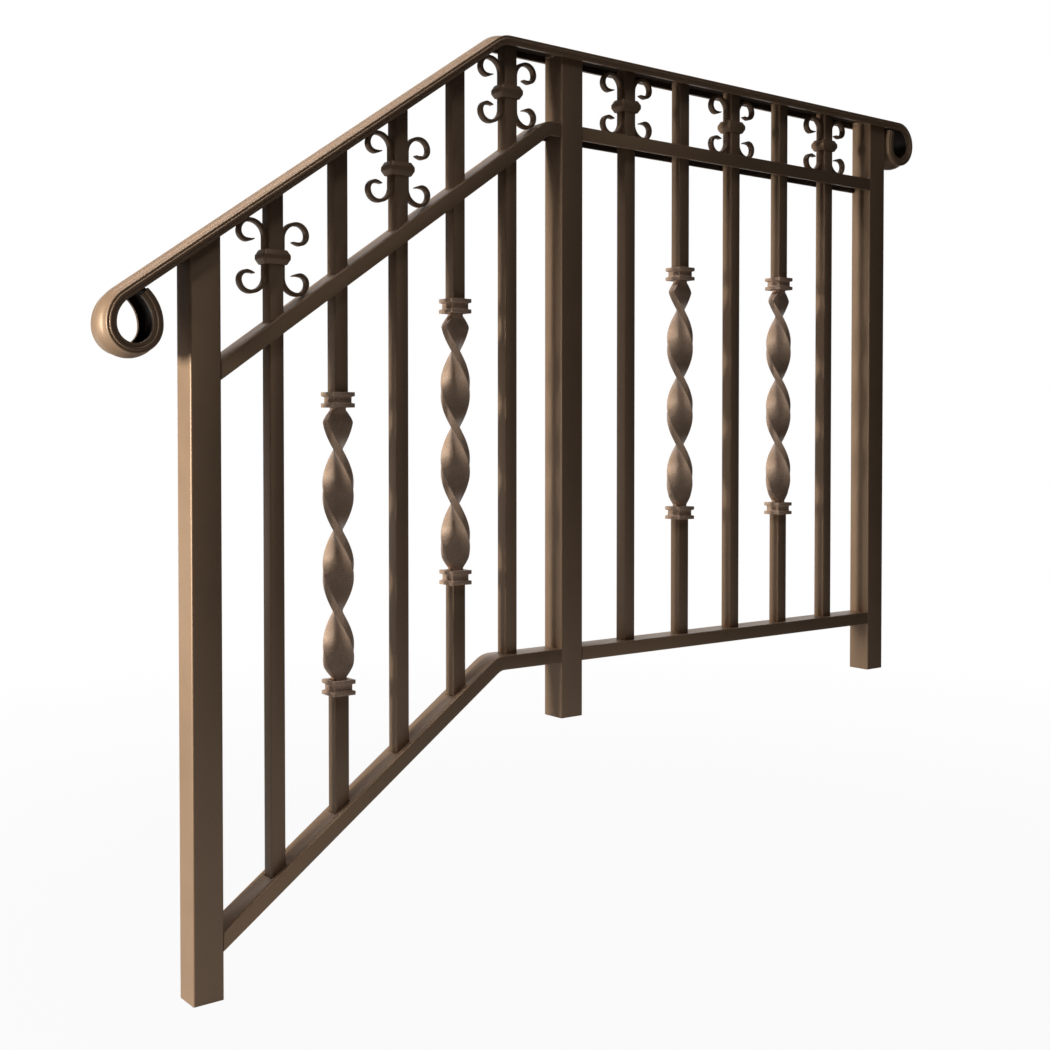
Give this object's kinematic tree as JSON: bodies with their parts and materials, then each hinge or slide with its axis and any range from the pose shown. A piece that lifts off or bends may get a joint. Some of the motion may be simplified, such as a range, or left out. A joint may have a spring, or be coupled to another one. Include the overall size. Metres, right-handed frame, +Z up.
{
  "type": "stair railing with balusters",
  "caption": "Welded iron stair railing with a sloped flight, a level landing, a moulded handrail curled at both ends, and plain, scrolled and twisted balusters.",
  "frame": {"origin": "centre of the middle post's foot, on the floor of the landing", "axes": "+X along the run from the flight's lower end to the landing, +Y square to the railing, away from the pictured side, +Z up"},
  "size_m": [1.4225, 0.0508, 1.1951],
  "materials": {
    "bronze_paint": "semi-gloss"
  },
  "bodies": {
    "root": {"bottom_rail_flight": "bronze_paint", "bottom_rail_landing": "bronze_paint", "handrail": "bronze_paint", "lower_collar_1": "bronze_paint", "lower_collar_2": "bronze_paint", "lower_collar_3": "bronze_paint", "lower_collar_4": "bronze_paint", "lower_post": "bronze_paint", "mid_rail_flight": "bronze_paint", "mid_rail_landing": "bronze_paint", "middle_post": "bronze_paint", "plain_baluster_1": "bronze_paint", "plain_baluster_2": "bronze_paint", "plain_baluster_3": "bronze_paint", "plain_baluster_4": "bronze_paint", "plain_baluster_5": "bronze_paint", "plain_baluster_6": "bronze_paint", "scroll_band_1": "bronze_paint", "scroll_band_2": "bronze_paint", "scroll_band_3": "bronze_paint", "scroll_band_4": "bronze_paint", "scroll_band_5": "bronze_paint", "scroll_band_6": "bronze_paint", "scroll_left_1": "bronze_paint", "scroll_left_2": "bronze_paint", "scroll_left_3": "bronze_paint", "scroll_left_4": "bronze_paint", "scroll_left_5": "bronze_paint", "scroll_left_6": "bronze_paint", "scroll_right_1": "bronze_paint", "scroll_right_2": "bronze_paint", "scroll_right_3": "bronze_paint", "scroll_right_4": "bronze_paint", "scroll_right_5": "bronze_paint", "scroll_right_6": "bronze_paint", "twisted_baluster_1": "bronze_paint", "twisted_baluster_2": "bronze_paint", "twisted_baluster_3": "bronze_paint", "twisted_baluster_4": "bronze_paint", "upper_collar_1": "bronze_paint", "upper_collar_2": "bronze_paint", "upper_collar_3": "bronze_paint", "upper_collar_4": "bronze_paint", "upper_post": "bronze_paint"}
  },
  "joints": []
}
